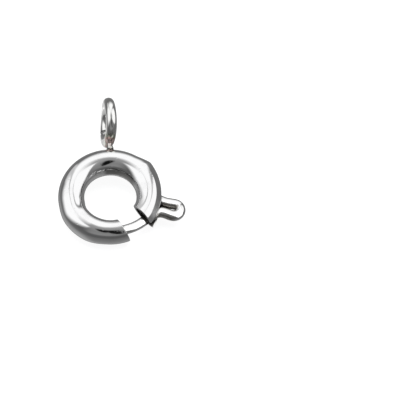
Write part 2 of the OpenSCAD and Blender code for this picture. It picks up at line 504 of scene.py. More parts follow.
@dataclass(frozen=True)
class RingTube:
    """Hollow tube bent to a ring, with slanted mouths and a slot for the lever.

    A pair in brackets, such as near_mouth, runs from where a change starts to where it is
    full.

    Attributes:
        lever_lean: Lean of the lever arm's cut over the section's height, in mm per mm.
        shoulder_powers: How steeply the shoulder rises, and falls behind its peak.
        flank_lip: How far the flat flanks stand out at the slot.
        flank_top: Where the flat flanks meet the round section, outwards and up.
        drift_back: Share of the plain arm's drift that its end takes back.
    """

    ring_r: float = 2.25
    tube_r: float = 0.75
    bore_r: float = 0.57
    slot_w: float = 0.66
    slot_end: float = 46.0
    lever_mouth: float = -33.8
    lever_skew: float = -17.0
    lever_lean: float = 0.17
    plain_mouth: float = 289.8
    plain_skew: float = 10.0
    plain_lean: float = 0.12
    shoulder: float = 0.20
    shoulder_at: float = 42.5
    shoulder_back: float = 17.0
    shoulder_powers: tuple[float, float] = (1.7, 1.4)
    flank_lip: float = 0.692
    flank_widened: float = 0.04
    flank_top: tuple[float, float] = (0.385, 0.68)
    flanked: Span = (49.0, 40.0)
    near_mouth: Span = (-14.0, -38.0)
    flare: float = 0.06
    flared_below: Span = (0.1, -0.35)
    curl: float = 0.08
    curl_power: float = 4.0
    crimp: float = 0.05
    crimped: tuple[Span, Span] = ((0.06, 0.0), (0.98, 1.0))
    drift: float = 0.07
    drifted: Span = (190.0, 212.0)
    drift_back: float = 0.65
    pinch: float = 0.07
    pinched: Span = (240.0, 268.0)
    slotted_steps: int = 62
    closed_steps: int = 190
    sleeve_steps: int = 84
    band_steps: int = 10
    wall_steps: int = 3
    edge_round: float = 0.022
    weld: float = 0.0002

    def tree(self, material: bpy.types.Material) -> ShapeTree:
        """Build the tree that bends, cuts and slots the tube.

        Args:
            material: The tube's finish.

        Returns:
            The tree. Each patch of the shell is a grid, placed by its angle round the ring,
            its angle round the tube and its depth in the wall.
        """
        half = self.slot_w / 2
        flank_x, flank_z = self.flank_top
        lengths = {
            "Ring Radius": self.ring_r, "Tube Radius": self.tube_r, "Bore Radius": self.bore_r,
            "Slot Half Width": half, "Shoulder": self.shoulder, "Flank Lip": self.flank_lip,
            "Flank Widened": self.flank_widened, "Flare": self.flare, "Curl": self.curl,
            "Crimp": self.crimp, "Drift": self.drift,
        }
        angles = {
            "Slot End": self.slot_end, "Lever Mouth": self.lever_mouth, "Lever Skew": self.lever_skew,
            "Plain Mouth": self.plain_mouth, "Plain Skew": self.plain_skew,
            "Shoulder At": self.shoulder_at, "Shoulder Back": self.shoulder_back,
        }
        shape = ShapeTree("bent_tube", material, {
            **{label: size * MM for label, size in lengths.items()},
            **{label: math.radians(angle) for label, angle in angles.items()},
            "Lever Lean": self.lever_lean, "Plain Lean": self.plain_lean, "Pinch": self.pinch,
            "Flank Slope": (self.flank_lip - flank_x) / (flank_z - half),
            "Flank Spread": flank_x / math.sqrt(self.tube_r ** 2 - flank_z ** 2) - 1.0,
            "Slotted Steps": self.slotted_steps, "Closed Steps": self.closed_steps,
            "Sleeve Steps": self.sleeve_steps, "Band Steps": self.band_steps, "Wall Steps": self.wall_steps,
        })
        stretches = ((True, True), (False, True), (False, False))
        patches = [self._patch(shape, *stretch, wall) for wall in (0.0, 1.0) for stretch in stretches]
        patches += [self._rim(shape, *rim) for rim in (
            (True, True, 0.0), (False, True, 1.0), (False, False, 1.0), (False, False, 0.0))]
        patches += [self._lip(shape, around) for around in (0.0, 1.0)]
        shell = shape.wire("GeometryNodeJoinGeometry", None, {0: patches})
        shape.close(shape.wire("GeometryNodeMergeByDistance", None, {0: shell, "Distance": self.weld * MM}))
        return shape

    @staticmethod
    def _grid(shape: ShapeTree, along: str, across: str) -> tuple[Wire, Wire, Wire]:
        """Make a unit grid.

        Args:
            shape: The tree.
            along: Input with the number of steps one way.
            across: Input with the number of steps the other way.

        Returns:
            The grid, and its two shares from 0 to 1.
        """
        grid = shape.wire("GeometryNodeMeshGrid", None, {
            "Size X": 1.0, "Size Y": 1.0, "Vertices X": shape[along] + 1, "Vertices Y": shape[across] + 1})
        x, y, _ = shape.parts(shape.wire("GeometryNodeInputPosition"))
        return grid, x + 0.5, y + 0.5

    @staticmethod
    def _cut(shape: ShapeTree, which: str, radius: Wire, height: Wire) -> Wire:
        """Find where a slanted and leaning mouth cuts a circle of the tube.

        Args:
            shape: The tree.
            which: The arm, "Lever" or "Plain".
            radius: Radius of the circle.
            height: Height of the circle.

        Returns:
            The angle of the cut.
        """
        skew = shape[which + " Skew"]
        slant = shape.math("ARCSINE", shape["Ring Radius"] * shape.sin(skew) / radius)
        return shape[which + " Mouth"] + skew - slant - shape[which + " Lean"] * height / radius

    def _flank(self, shape: ShapeTree, bend: Wire, turn: Wire) -> Wire:
        """Lay the outside flat beside the slot.

        Args:
            shape: The tree.
            bend: Angle round the ring.
            turn: Angle round the tube.

        Returns:
            How far the outside leaves a round section.
        """
        plain = shape.most(shape.cos(turn), 0.0) * shape["Tube Radius"]
        tall = shape.most(shape.size(shape.sin(turn)) * shape["Tube Radius"], shape["Slot Half Width"])
        lip = shape["Flank Lip"] + shape["Flank Widened"] * shape.turned(bend, self.near_mouth)
        flat = lip - (tall - shape["Slot Half Width"]) * shape["Flank Slope"]
        return shape.least(plain * shape["Flank Spread"], flat - plain)

    def _shoulder(self, shape: ShapeTree, bend: Wire, turn: Wire) -> Wire:
        """Raise the shoulder over the slot's end, and flare and curl the mouth.

        Args:
            shape: The tree.
            bend: Angle round the ring.
            turn: Angle round the tube.

        Returns:
            How far the slotted side stands out.
        """
        peak, back = shape["Shoulder At"], shape["Shoulder Back"]
        rise = shape.most(bend / peak, 0.0) ** self.shoulder_powers[0]
        fall = shape.most((peak + back - bend) / back, 0.0) ** self.shoulder_powers[1]
        outer = shape.most(shape.cos(turn), 0.0)
        inner = shape.most(-shape.cos(turn), 0.0) ** self.curl_power
        mouth = shape.turned(bend, self.near_mouth)
        flared = shape["Flare"] * (shape.step(shape.sin(turn), *self.flared_below) * mouth)
        stands = outer * (shape["Shoulder"] * shape.least(rise, fall) + flared)
        return stands - shape["Curl"] * (inner * mouth)

    def _drawn_in(self, shape: ShapeTree, bend: Wire) -> tuple[Wire, Wire]:
        """Let the plain arm drift outwards and draw in its end.

        Args:
            shape: The tree.
            bend: Angle round the ring.

        Returns:
            The drift, and the share of the section that is left.
        """
        near_end = shape.turned(bend, self.pinched)
        out = shape.turned(bend, self.drifted) - self.drift_back * near_end
        return shape["Drift"] * out, 1 - shape["Pinch"] * near_end

    def _place(
        self, shape: ShapeTree, grid: Wire, slotted: bool, sleeve: bool, along: Term, around: Term, deep: Term
    ) -> Wire:
        """Place a grid on the shell.

        Args:
            shape: The tree.
            grid: The unit grid.
            slotted: True on the stretch with the slot, False on the closed stretch.
            sleeve: True on the wall beside the slot, False on the band in line with it.
            along: Share along the stretch.
            around: Share round the tube.
            deep: Share from the outside to the bore.

        Returns:
            The placed grid.
        """
        ring_r, end = shape["Ring Radius"], shape["Slot End"]
        mouth = shape.step(along, *self.crimped[0 if slotted else 1])
        bore_r = shape["Bore Radius"] - shape["Crimp"] * mouth
        section_r = shape.blend(shape["Tube Radius"], bore_r, deep)
        edge = shape.math("ARCSINE", shape["Slot Half Width"] / section_r)
        low, high = (edge, 2 * math.pi - edge) if sleeve else (-edge, edge)
        turn = shape.blend(low, high, around)
        radius = ring_r + section_r * shape.cos(turn)
        height = section_r * shape.sin(turn)
        first = self._cut(shape, "Lever", radius, height) if slotted else end
        last = end if slotted else self._cut(shape, "Plain", radius, height)
        bend = shape.blend(first, last, along)
        drift, tight = self._drawn_in(shape, bend)
        flat = shape.turned(bend, self.flanked) * self._flank(shape, bend, turn) * (1 - deep)
        outside = self._shoulder(shape, bend, turn) + flat
        radius = ring_r + drift + (radius - ring_r) * tight + outside
        spot = shape.vector(radius * shape.cos(bend), radius * shape.sin(bend), height * tight)
        return shape.wire("GeometryNodeSetPosition", None, {0: grid, "Position": spot})

    @staticmethod
    def _facing(shape: ShapeTree, geometry: Wire, flip: bool) -> Wire:
        """Turn a patch over where it has to be."""
        return shape.wire("GeometryNodeFlipFaces", None, {0: geometry}) if flip else geometry

    def _patch(self, shape: ShapeTree, slotted: bool, sleeve: bool, wall: float) -> Wire:
        """Make one stretch of the outside or of the bore.

        Args:
            shape: The tree.
            slotted: True on the stretch with the slot.
            sleeve: True on the wall beside the slot.
            wall: 0 on the outside, 1 in the bore.

        Returns:
            The patch.
        """
        steps = "Slotted Steps" if slotted else "Closed Steps", "Sleeve Steps" if sleeve else "Band Steps"
        grid, a, b = self._grid(shape, *steps)
        return self._facing(shape, self._place(shape, grid, slotted, sleeve, a, b, wall), wall == 0.0)

    def _rim(self, shape: ShapeTree, slotted: bool, sleeve: bool, along: float) -> Wire:
        """Make a face across the wall: a mouth's rim or the slot's end.

        Args:
            shape: The tree.
            slotted: True on the stretch with the slot.
            sleeve: True on the wall beside the slot.
            along: The end of the stretch, 0 or 1.

        Returns:
            The face.
        """
        grid, a, b = self._grid(shape, "Wall Steps", "Sleeve Steps" if sleeve else "Band Steps")
        return self._facing(shape, self._place(shape, grid, slotted, sleeve, along, b, a), along == 1.0)

    def _lip(self, shape: ShapeTree, around: float) -> Wire:
        """Return the face across the wall along one side of the slot."""
        grid, a, b = self._grid(shape, "Slotted Steps", "Wall Steps")
        return self._facing(shape, self._place(shape, grid, True, True, a, around, b), around == 1.0)

    def build(self, material: bpy.types.Material) -> bpy.types.Object:
        """Make the tube.

        Args:
            material: Its finish.

        Returns:
            The tube, leaned as the clasp rests.
        """
        piece = self.tree(material).plain_mesh("ring_tube")
        piece.data.transform(LEANED)
        rounded(piece, self.edge_round)
        return piece


@dataclass(frozen=True)
class EndRing:
    """End ring of round wire with its open seam, soldered upright on the neck.

    Attributes:
        lean: Lean of the upright ring to one side.
        twist: Turn about the neck.
        warp: How far the wire leaves its plane.
        seam: Angle of the seam, in the end ring's own plane.
        edge_round: Rounding of the sawn ends.
    """

    outer_d: float = 2.95
    wire_d: float = 0.63
    centre: tuple[float, float] = (-0.12, 4.88)
    lean: float = 7.6
    twist: float = 2.5
    warp: float = 0.03
    seam: float = -96.0
    seam_w: float = 0.15
    steps: int = 150
    sides: int = 48
    edge_round: float = 0.03
    edge_steps: int = 3

    @property
    def bend_r(self) -> float:
        """Radius of the wire's centreline."""
        return (self.outer_d - self.wire_d) / 2

    @property
    def stand(self) -> Matrix:
        """Stand the end ring on the neck.

        Returns:
            Its turn and place in the ring's plane, in millimetres.
        """
        place_mm = Matrix.Translation((*self.centre, 0.0))
        upright = Matrix.Rotation(math.pi / 2, 4, "Z") @ Matrix.Rotation(math.pi / 2, 4, "X")
        twisted = Matrix.Rotation(math.radians(self.twist), 4, "Z")
        return place_mm @ twisted @ Matrix.Rotation(math.radians(self.lean), 4, "Y") @ upright

    def gap_to(self, point: Vector) -> float:
        """Return the distance in millimetres from a point to the wire's surface."""
        local = self.stand.inverted() @ point
        return math.hypot(math.hypot(local.x, local.y) - self.bend_r, local.z) - self.wire_d / 2

    def build(self, material: bpy.types.Material) -> bpy.types.Object:
        """Make the end ring with a tree that sweeps an arc.

        Args:
            material: Its finish.

        Returns:
            The end ring in its place.
        """
        open_arc = 2 * math.asin(self.seam_w / 2 / self.bend_r)
        shape = ShapeTree("bent_wire", material, {
            "Bend Radius": self.bend_r * MM, "Wire Radius": self.wire_d / 2 * MM,
            "Start": math.radians(self.seam) + open_arc / 2, "Sweep": 2 * math.pi - open_arc,
            "Steps": self.steps, "Sides": self.sides,
        })
        shape.sweep(shape.wire("GeometryNodeCurveArc", {"mode": "RADIUS"}, {
            "Resolution": shape["Steps"], "Radius": shape["Bend Radius"],
            "Start Angle": shape["Start"], "Sweep Angle": shape["Sweep"],
        }))
        piece = shape.plain_mesh("end_ring")
        rounded(piece, self.edge_round, self.edge_steps)
        self._mark_seam(piece.data, math.degrees(open_arc) / 2)
        for vertex in piece.data.vertices:
            vertex.co.z -= self.warp * MM * math.sin(2 * math.atan2(vertex.co.y, vertex.co.x))
        piece.data.transform(LEANED @ Matrix.Scale(MM, 4) @ self.stand @ Matrix.Scale(1 / MM, 4))
        return piece

    def _mark_seam(self, mesh: bpy.types.Mesh, half: float) -> None:
        """Mark the sawn faces of the seam with 1 and their rims with 0.5.

        Args:
            mesh: The end ring in its own axes, in metres.
            half: Half of the seam's opening in degrees.
        """
        slack = 0.004
        marks = []
        for vertex in mesh.vertices:
            x, y, z = (c / MM for c in vertex.co)
            away = abs((math.degrees(math.atan2(y, x)) - self.seam + 180) % 360 - 180) - half
            inside = self.wire_d / 2 - math.hypot(math.hypot(x, y) - self.bend_r, z)
            deep = math.radians(away) * self.bend_r
            sawn = deep < slack and inside > self.edge_round - slack / 2
            marks.append(1.0 if sawn else 0.5 if deep < self.edge_round + slack else 0.0)
        mesh.attributes.new("sawn", "FLOAT", "POINT").data.foreach_set("value", marks)


@dataclass(frozen=True)
class SolderNeck:
    """Neck between the tube and the end ring, with its solder drawn out on both.

    Attributes:
        axis_x: Sideways place of the neck's foot and waist.
        head_r: Half width and half depth of the solder on the end ring.
        starts: Where the search for the tube and for the end ring starts.
        ends: Where the neck closes inside the tube's wall and inside the end ring's wire.
        sink: How far the solder's edge sinks into each surface.
        pulls: How strongly a fillet leaves its foot and meets the waist.
        ripples: Height, number and shift of the waves of the solder's edge.
    """

    tube: RingTube
    end_ring: EndRing
    axis_x: float = -0.015
    waist_r: float = 0.20
    waist_y: float = 3.16
    foot_r: float = 0.40
    head_x: float = -0.072
    head_r: tuple[float, float] = (0.20, 0.28)
    starts: tuple[float, float] = (3.4, 3.15)
    ends: tuple[float, float] = (2.7, 3.6)
    sink: float = 0.012
    pulls: tuple[float, float] = (1.1, 1.2)
    ripples: tuple[tuple[float, int, float], ...] = ((0.05, 3, 0.6), (0.03, 5, 0.0))
    columns: int = 56
    rows: int = 9

    def _meet(self, start: Vector, gap: Callable[[Vector], float], way: float) -> Vector:
        """Walk along the neck until a surface is met.

        Args:
            start: Where the walk starts.
            gap: Distance from a point to the surface.
            way: 1 towards the end ring and -1 towards the tube.

        Returns:
            The point, sunk a little into the surface.
        """
        walks, stride, furthest = 60, 0.9, 0.8
        point = start.copy()
        for _ in range(walks):
            point.y += way * gap(point) * stride
            if abs(point.y - start.y) > furthest:
                raise ValueError(f"the neck misses a surface at x {start.x:.3f}, z {start.z:.3f}")
        point.y += way * self.sink
        return point

    def _tube_gap(self, point: Vector) -> float:
        """Return the distance from a point to the tube's outside."""
        return math.hypot(math.hypot(point.x, point.y) - self.tube.ring_r, point.z) - self.tube.tube_r

    def _fillet(self, foot: Vector, waist: Vector, side: Vector, way: float) -> list[Vector]:
        """Draw the solder from a foot on a surface to the waist.

        Args:
            foot: Point on the surface.
            waist: Point on the waist.
            side: Direction out of the neck's axis.
            way: 1 from the tube and -1 from the end ring.

        Returns:
            The fillet's points, without the waist.
        """
        pull = (foot - waist).length
        leave = -side * pull * self.pulls[0]
        arrive = Vector((0.0, way * pull * self.pulls[1], 0.0))
        points = []
        for i in range(self.rows):
            t = i / self.rows
            a, b = 2 * t**3 - 3 * t**2 + 1, t**3 - 2 * t**2 + t
            c, d = -2 * t**3 + 3 * t**2, t**3 - t**2
            points.append(a * foot + b * leave + c * waist + d * arrive)
        return points

    def _column(self, turn: float) -> list[Vector]:
        """Draw one line up the neck.

        Args:
            turn: Angle round the neck, in radians.

        Returns:
            Its points, from the tube to the end ring.
        """
        side = Vector((math.cos(turn), 0.0, math.sin(turn)))
        ripple = 1 + sum(high * math.sin(count * turn + shift) for high, count, shift in self.ripples)
        out = Vector((side.x * self.head_r[0], 0.0, side.z * self.head_r[1])) * ripple
        low = Vector((self.axis_x, self.starts[0], 0.0)) + side * self.foot_r * ripple
        foot = self._meet(low, self._tube_gap, -1)
        head = self._meet(Vector((self.head_x, self.starts[1], 0.0)) + out, self.end_ring.gap_to, 1)
        waist = Vector((self.axis_x, self.waist_y, 0.0)) + side * self.waist_r
        upper = self._fillet(head, waist, side, -1)
        return [*self._fillet(foot, waist, side, 1), waist, *reversed(upper)]

    def build(self, material: bpy.types.Material) -> bpy.types.Object:
        """Loft the neck.

        Args:
            material: Its finish.

        Returns:
            The neck, closed inside the tube's wall and the end ring's wire.
        """
        columns = [self._column(2 * math.pi * i / self.columns) for i in range(self.columns)]
        high = len(columns[0])
        points = [p for column in columns for p in column]
        points += [Vector((self.axis_x, end, 0.0)) for end in self.ends]
        low_cap, high_cap = len(points) - 2, len(points) - 1
        faces = []
        for i in range(self.columns):
            a, b = i * high, (i + 1) % self.columns * high
            faces += [(a + k, b + k, b + k + 1, a + k + 1) for k in range(high - 1)]
            faces += [(low_cap, b, a), (high_cap, a + high - 1, b + high - 1)]
        mesh = mesh_of("solder_neck", [LEANED @ (p * MM) for p in points], faces, material)
        outward(mesh)
        smoothed(mesh)
        return place("solder_neck", mesh)


@dataclass(frozen=True)
class BoreStops:
    """Two half-moons pressed into the bore: the spring's stop and the tongue's.

    Attributes:
        starts: Angle at which each stop starts.
        arc: Length of a stop.
        bite: How far a stop reaches into the wall.
        top: Height of a stop's straight upper edge.
    """

    tube: RingTube
    starts: tuple[float, float] = (148.5, -79.0)
    arc: float = 4.0
    bite: float = 0.05
    top: float = 0.1
    steps: int = 40

    def build(self, material: bpy.types.Material) -> bpy.types.Object:
        """Make both stops as one mesh.

        Args:
            material: Their finish.

        Returns:
            The stops.
        """
        points: list[Vector] = []
        faces: list[tuple[int, ...]] = []
        section_r = self.tube.bore_r + self.bite
        above = math.asin(self.top / section_r)
        low, high = math.pi - above, 2 * math.pi + above
        turns = [low + (high - low) * i / self.steps for i in range(self.steps + 1)]
        count = len(turns)
        for start in self.starts:
            base = len(points)
            for bend in (start, start + self.arc):
                points += [at_angle(self.tube.ring_r + section_r * math.cos(turn), bend,
                                    section_r * math.sin(turn)) for turn in turns]
            faces.append(tuple(base + i for i in range(count)))
            faces.append(tuple(base + count + i for i in reversed(range(count))))
            faces += [(base + i, base + count + i, base + count + (i + 1) % count, base + (i + 1) % count)
                      for i in range(count)]
        mesh = mesh_of("bore_stops", [LEANED @ (p * MM) for p in points], faces, material)
        outward(mesh)
        return place("bore_stops", mesh)


# Tongue and spring


@dataclass(frozen=True)
class Tongue:
    """Tongue, thumb lever and tail, bent from one round wire.

    A pair is for the tongue's leg and for the tail's.

    Attributes:
        tip: Angle of the tongue's tip.
        tail: Angle of the tail's end.
        lever: Angle of the thumb lever.
        reach: Distance of the lever's end from the ring's centre.
        lever_share: Share of the wire's radius outside the tube.
        bulb_r: Radius of the lever's round end, on the wire's centreline.
        bow: How far the tongue bows outwards across the gap.
        bowed: Angles between which it bows.
        roots: Angle from the lever at which each leg leaves the ring's circle.
        tops: Where each root has become a straight leg.
        pulls: How strongly each root's curve leaves the circle and meets the leg.
        tip_round: Length of the wire's round ends, in radii.
        least_end: Share of the radius at an end's pole.
    """

    ring_r: float = 2.25
    wire_d: float = 0.565
    tip: float = -74.5
    tail: float = 50.0
    lever: float = -12.6
    reach: float = 4.38
    lever_share: float = 1.10
    bulb_r: float = 0.365
    bulb_shift: float = 0.03
    leg_offset: float = 0.32
    bow: float = 0.06
    bowed: Span = (-78.0, -28.0)
    roots: tuple[float, float] = (55.0, 28.0)
    tops: tuple[float, float] = (3.15, 3.25)
    pulls: tuple[tuple[float, float], tuple[float, float]] = ((1.6, 0.55), (0.45, 0.45))
    root_steps: tuple[int, int] = (60, 34)
    leg_steps: tuple[int, int] = (16, 14)
    bulb_steps: int = 36
    end_steps: int = 8
    tip_round: float = 0.8
    least_end: float = 0.04
    spacing: float = 0.035
    sides: int = 48

    @property
    def bulb_x(self) -> float:
        """Place of the centre of the lever's round end."""
        return self.reach - self.wire_d / 2 - self.bulb_r

    @property
    def round_arc(self) -> float:
        """Angle that a round end of the wire takes up."""
        return math.degrees(self.tip_round * self.wire_d / 2 / self.ring_r)

    def _root(self, which: int, side: float) -> list[Vector]:
        """Bend a root, in the lever's axes, from the ring's circle to the leg.

        Args:
            which: 0 for the tongue's root, 1 for the tail's.
            side: Side of the lever, -1 or 1.

        Returns:
            Its points, without the last.
        """
        start = at_angle(self.ring_r, side * self.roots[which])
        away = math.radians(self.roots[which])
        top = Vector((self.tops[which], side * self.leg_offset, 0.0))
        near, far = self.pulls[which]
        first = start + near * Vector((math.sin(away), -side * math.cos(away), 0.0))
        curve = (start, first, top - Vector((far, 0.0, 0.0)), top)
        steps = self.root_steps[which]
        weights = [((1 - t) ** 3, 3 * (1 - t) ** 2 * t, 3 * (1 - t) * t * t, t**3)
                   for t in (i / steps for i in range(steps))]
        return [sum((w * p for w, p in zip(row, curve)), Vector()) for row in weights]

    def _leg(self, which: int, side: float) -> list[Vector]:
        """Draw a leg, from its root to the lever's round end.

        Args:
            which: 0 for the tongue's leg, 1 for the tail's.
            side: Side of the lever, -1 or 1.

        Returns:
            Its points, without the last.
        """
        from_x, from_y = self.tops[which], side * self.leg_offset
        to_y = side * self.bulb_r - self.bulb_shift
        steps = self.leg_steps[which]
        return [Vector((from_x + t * (self.bulb_x - from_x), from_y + eased(t) * (to_y - from_y), 0.0))
                for t in (i / steps for i in range(steps))]

    def _bowed(self, point: Vector) -> Vector:
        """Push a point outwards where the tongue bows across the gap.

        Args:
            point: A point of the wire.

        Returns:
            The point in its place.
        """
        start, stop = self.bowed
        t = (math.degrees(math.atan2(point.y, point.x)) - start) / (stop - start)
        if not 0.0 < t < 1.0:
            return point
        return point * (1 + self.bow * math.sin(math.pi * t) ** 2 / point.length)

    def _share(self, along: float) -> float:
        """Return the lever's share of the wire's radius, which grows outside the tube."""
        t = min(max((along - self.ring_r) / (self.tops[0] - self.ring_r), 0.0), 1.0)
        return 1.0 + (self.lever_share - 1.0) * eased(t)

    def _arc(self, start: float, stop: float) -> list[tuple[Vector, float]]:
        """Return points of the ring's circle with their full radius."""
        count = max(2, round(math.radians(stop - start) * self.ring_r / self.spacing))
        return [(at_angle(self.ring_r, start + (stop - start) * i / count), 1.0) for i in range(count + 1)]

    def _round_end(self, angle: float, way: float) -> list[tuple[Vector, float]]:
        """Round an end of the wire.

        Args:
            angle: Angle of the end.
            way: 1 where the wire runs up from it and -1 where it runs down.

        Returns:
            Its points with their shares, from the full radius to the pole.
        """
        parts = [math.pi / 2 * k / self.end_steps for k in range(1, self.end_steps + 1)]
        return [(at_angle(self.ring_r, angle + way * self.round_arc * (1 - math.sin(part))),
                 max(self.least_end, math.cos(part))) for part in parts]

    def path(self) -> list[tuple[Vector, float]]:
        """Lay out the wire from the tongue's tip to the tail's end.

        Returns:
            The wire's points, each with its share of the wire's radius.
        """
        centre = Vector((self.bulb_x, -self.bulb_shift, 0.0))
        bulb = [centre + at_angle(self.bulb_r, -90 + 180 * i / self.bulb_steps)
                for i in range(self.bulb_steps + 1)]
        lever = [*self._root(0, -1), *self._leg(0, -1), *bulb,
                 *reversed(self._leg(1, 1)), *reversed(self._root(1, 1))]
        turn = Matrix.Rotation(math.radians(self.lever), 4, "Z")
        rows = [
            *reversed(self._round_end(self.tip, 1)),
            *self._arc(self.tip + self.round_arc, self.lever - self.roots[0])[:-1],
            *((turn @ p, self._share(p.x)) for p in lever),
            *self._arc(self.lever + self.roots[1], self.tail - self.round_arc)[1:],
            *self._round_end(self.tail, -1),
        ]
        return [(self._bowed(p), share) for p, share in rows]

    def build(self, material: bpy.types.Material) -> bpy.types.Object:
        """Sweep the wire with a tree that follows the path.

        Args:
            material: Its finish.

        Returns:
            The wire, leaned as the clasp rests.
        """
        shape = ShapeTree("path_wire", material, {
            "Wire Radius": self.wire_d / 2 * MM, "Sides": self.sides})
        share = shape.wire("GeometryNodeInputNamedAttribute", {"data_type": "FLOAT"}, {"Name": "share"})
        line = shape.wire("GeometryNodeMeshToCurve", None, {0: shape["Geometry"]})
        shape.sweep(shape.wire("GeometryNodeSetCurveNormal", {"mode": "Z_UP"}, {0: line}), share)
        rows = self.path()
        seed = bpy.data.meshes.new("tongue_path")
        seed.from_pydata([tuple(p * MM) for p, _ in rows], [(i, i + 1) for i in range(len(rows) - 1)], [])
        seed.attributes.new("share", "FLOAT", "POINT").data.foreach_set("value", [s for _, s in rows])
        piece = shape.plain_mesh("tongue_wire", seed)
        piece.data.transform(LEANED)
        return piece


@dataclass(frozen=True)
class CoilSpring:
    """Coil spring in the bore, with a closed coil at each end.

    Attributes:
        start: Angle of its end at the tongue.
        end: Angle of its end at the stop.
        closed_pitch: Pitch of the closed coils, in wire diameters.
    """

    ring_r: float = 2.25
    wire_d: float = 0.14
    coil_d: float = 1.0
    coils: int = 16
    start: float = 17.0
    end: float = 148.0
    closed_pitch: float = 1.15
    steps_per_coil: int = 36
    sides: int = 12

    def build(self, material: bpy.types.Material) -> bpy.types.Object:
        """Wind the spring with a tree that bends a helix round the ring.

        Args:
            material: Its finish.

        Returns:
            The spring, leaned as the clasp rests.
        """
        shape = ShapeTree("bent_spring", material, {
            "Ring Radius": self.ring_r * MM, "Coil Radius": (self.coil_d - self.wire_d) / 2 * MM,
            "Wire Radius": self.wire_d / 2 * MM, "Coils": self.coils, "Steps": self.steps_per_coil,
            "Start": math.radians(self.start), "Sweep": math.radians(self.end - self.start),
            "Closed Pitch": self.closed_pitch * self.wire_d / self.ring_r, "Sides": self.sides,
        })
        coils, closed = shape["Coils"], shape["Closed Pitch"]
        line = shape.wire("GeometryNodeCurvePrimitiveLine", {"mode": "POINTS"})
        fine = shape.wire("GeometryNodeResampleCurve", {"mode": "COUNT"}, {
            "Curve": line, "Count": coils * shape["Steps"] + 1})
        turns = shape.wire("GeometryNodeSplineParameter") * coils
        open_pitch = (shape["Sweep"] - 2 * closed) / (coils - 2)
        first = shape.least(turns, 1.0)
        last = shape.most(turns - coils + 1, 0.0)
        bend = shape["Start"] + closed * (first + last) + open_pitch * (turns - first - last)
        wind = turns * (2 * math.pi)
        radius = shape["Ring Radius"] + shape["Coil Radius"] * shape.cos(wind)
        spot = shape.vector(radius * shape.cos(bend), radius * shape.sin(bend),
                            shape["Coil Radius"] * shape.sin(wind))
        shape.sweep(shape.wire("GeometryNodeSetPosition", None, {0: fine, "Position": spot}))
        piece = shape.plain_mesh("coil_spring")
        piece.data.transform(LEANED)
        return piece


# Finishes


class Skin:
    """A finish in the making: its place, and what the marks on it change."""

    colour: Wire
    roughness: Wire
    height: Wire

    def __init__(self, graph: Graph) -> None:
        """Work out the place in the ring's own plane, in millimetres.

        Args:
            graph: The material's tree.
        """
        self.graph = graph
        self.where = graph.wire("ShaderNodeMapping", {"vector_type": "POINT"}, {
            "Vector": graph.wire("ShaderNodeTexCoord", output="Object"),
            "Rotation": (-LEAN, 0.0, 0.0), "Scale": (1 / MM, 1 / MM, 1 / MM),
        })
        self.x, self.y, self.z = graph.parts(self.where)
        self.radius = graph.hypot(self.x, self.y)
        self.turn = graph.math("ARCTAN2", self.y, self.x)

    def outwards(self) -> Wire:
        """Return how far a place lies outside the tube's centreline."""
        return self.radius - RingTube.ring_r

    def past_mouth(self) -> Wire:
        """Find how far a place lies behind the lever arm's cut.

        Returns:
            The angle round the ring, in radians.
        """
        skew = math.radians(RingTube.lever_skew)
        slant = self.graph.math("ARCSINE", (RingTube.ring_r * math.sin(skew)) / self.radius)
        leaned = RingTube.lever_lean * self.z / self.radius
        return self.turn - (math.radians(RingTube.lever_mouth) + skew - slant - leaned)

    def stain(self, share: Wire, tone: Colour, rough: Optional[float] = None) -> None:
        """Mix a tone into the colour.

        Args:
            share: Share of the tone.
            tone: The tone.
            rough: Roughness that goes with it, or None.
        """
        self.colour = self.graph.tint(share, self.colour, tone)
        if rough is not None:
            self.roughness = self.graph.blend(self.roughness, rough, share)


@dataclass(frozen=True)
class Mark:
    """A mark of making or wear, or painted shade, in millimetres in the ring's own plane.

    A span runs from where the mark fades out to where it is full.
    """

    def lay(self, skin: Skin) -> None:
        """Lay the mark on a finish."""
        raise NotImplementedError


@dataclass(frozen=True)
class Soot(Mark):
    """Dark film in faint streaks."""

    strength: float
    streaks: Noise = (4.5, 4.0, 0.7)
    edge: Span = (0.52, 0.80)
    tone: Colour = (0.32, 0.30, 0.28)

    def lay(self, skin: Skin) -> None:
        """Darken the colour in the streaks."""
        streaks = skin.graph.step(skin.graph.noise(skin.where, self.streaks), *self.edge)
        skin.stain(streaks * self.strength, self.tone)


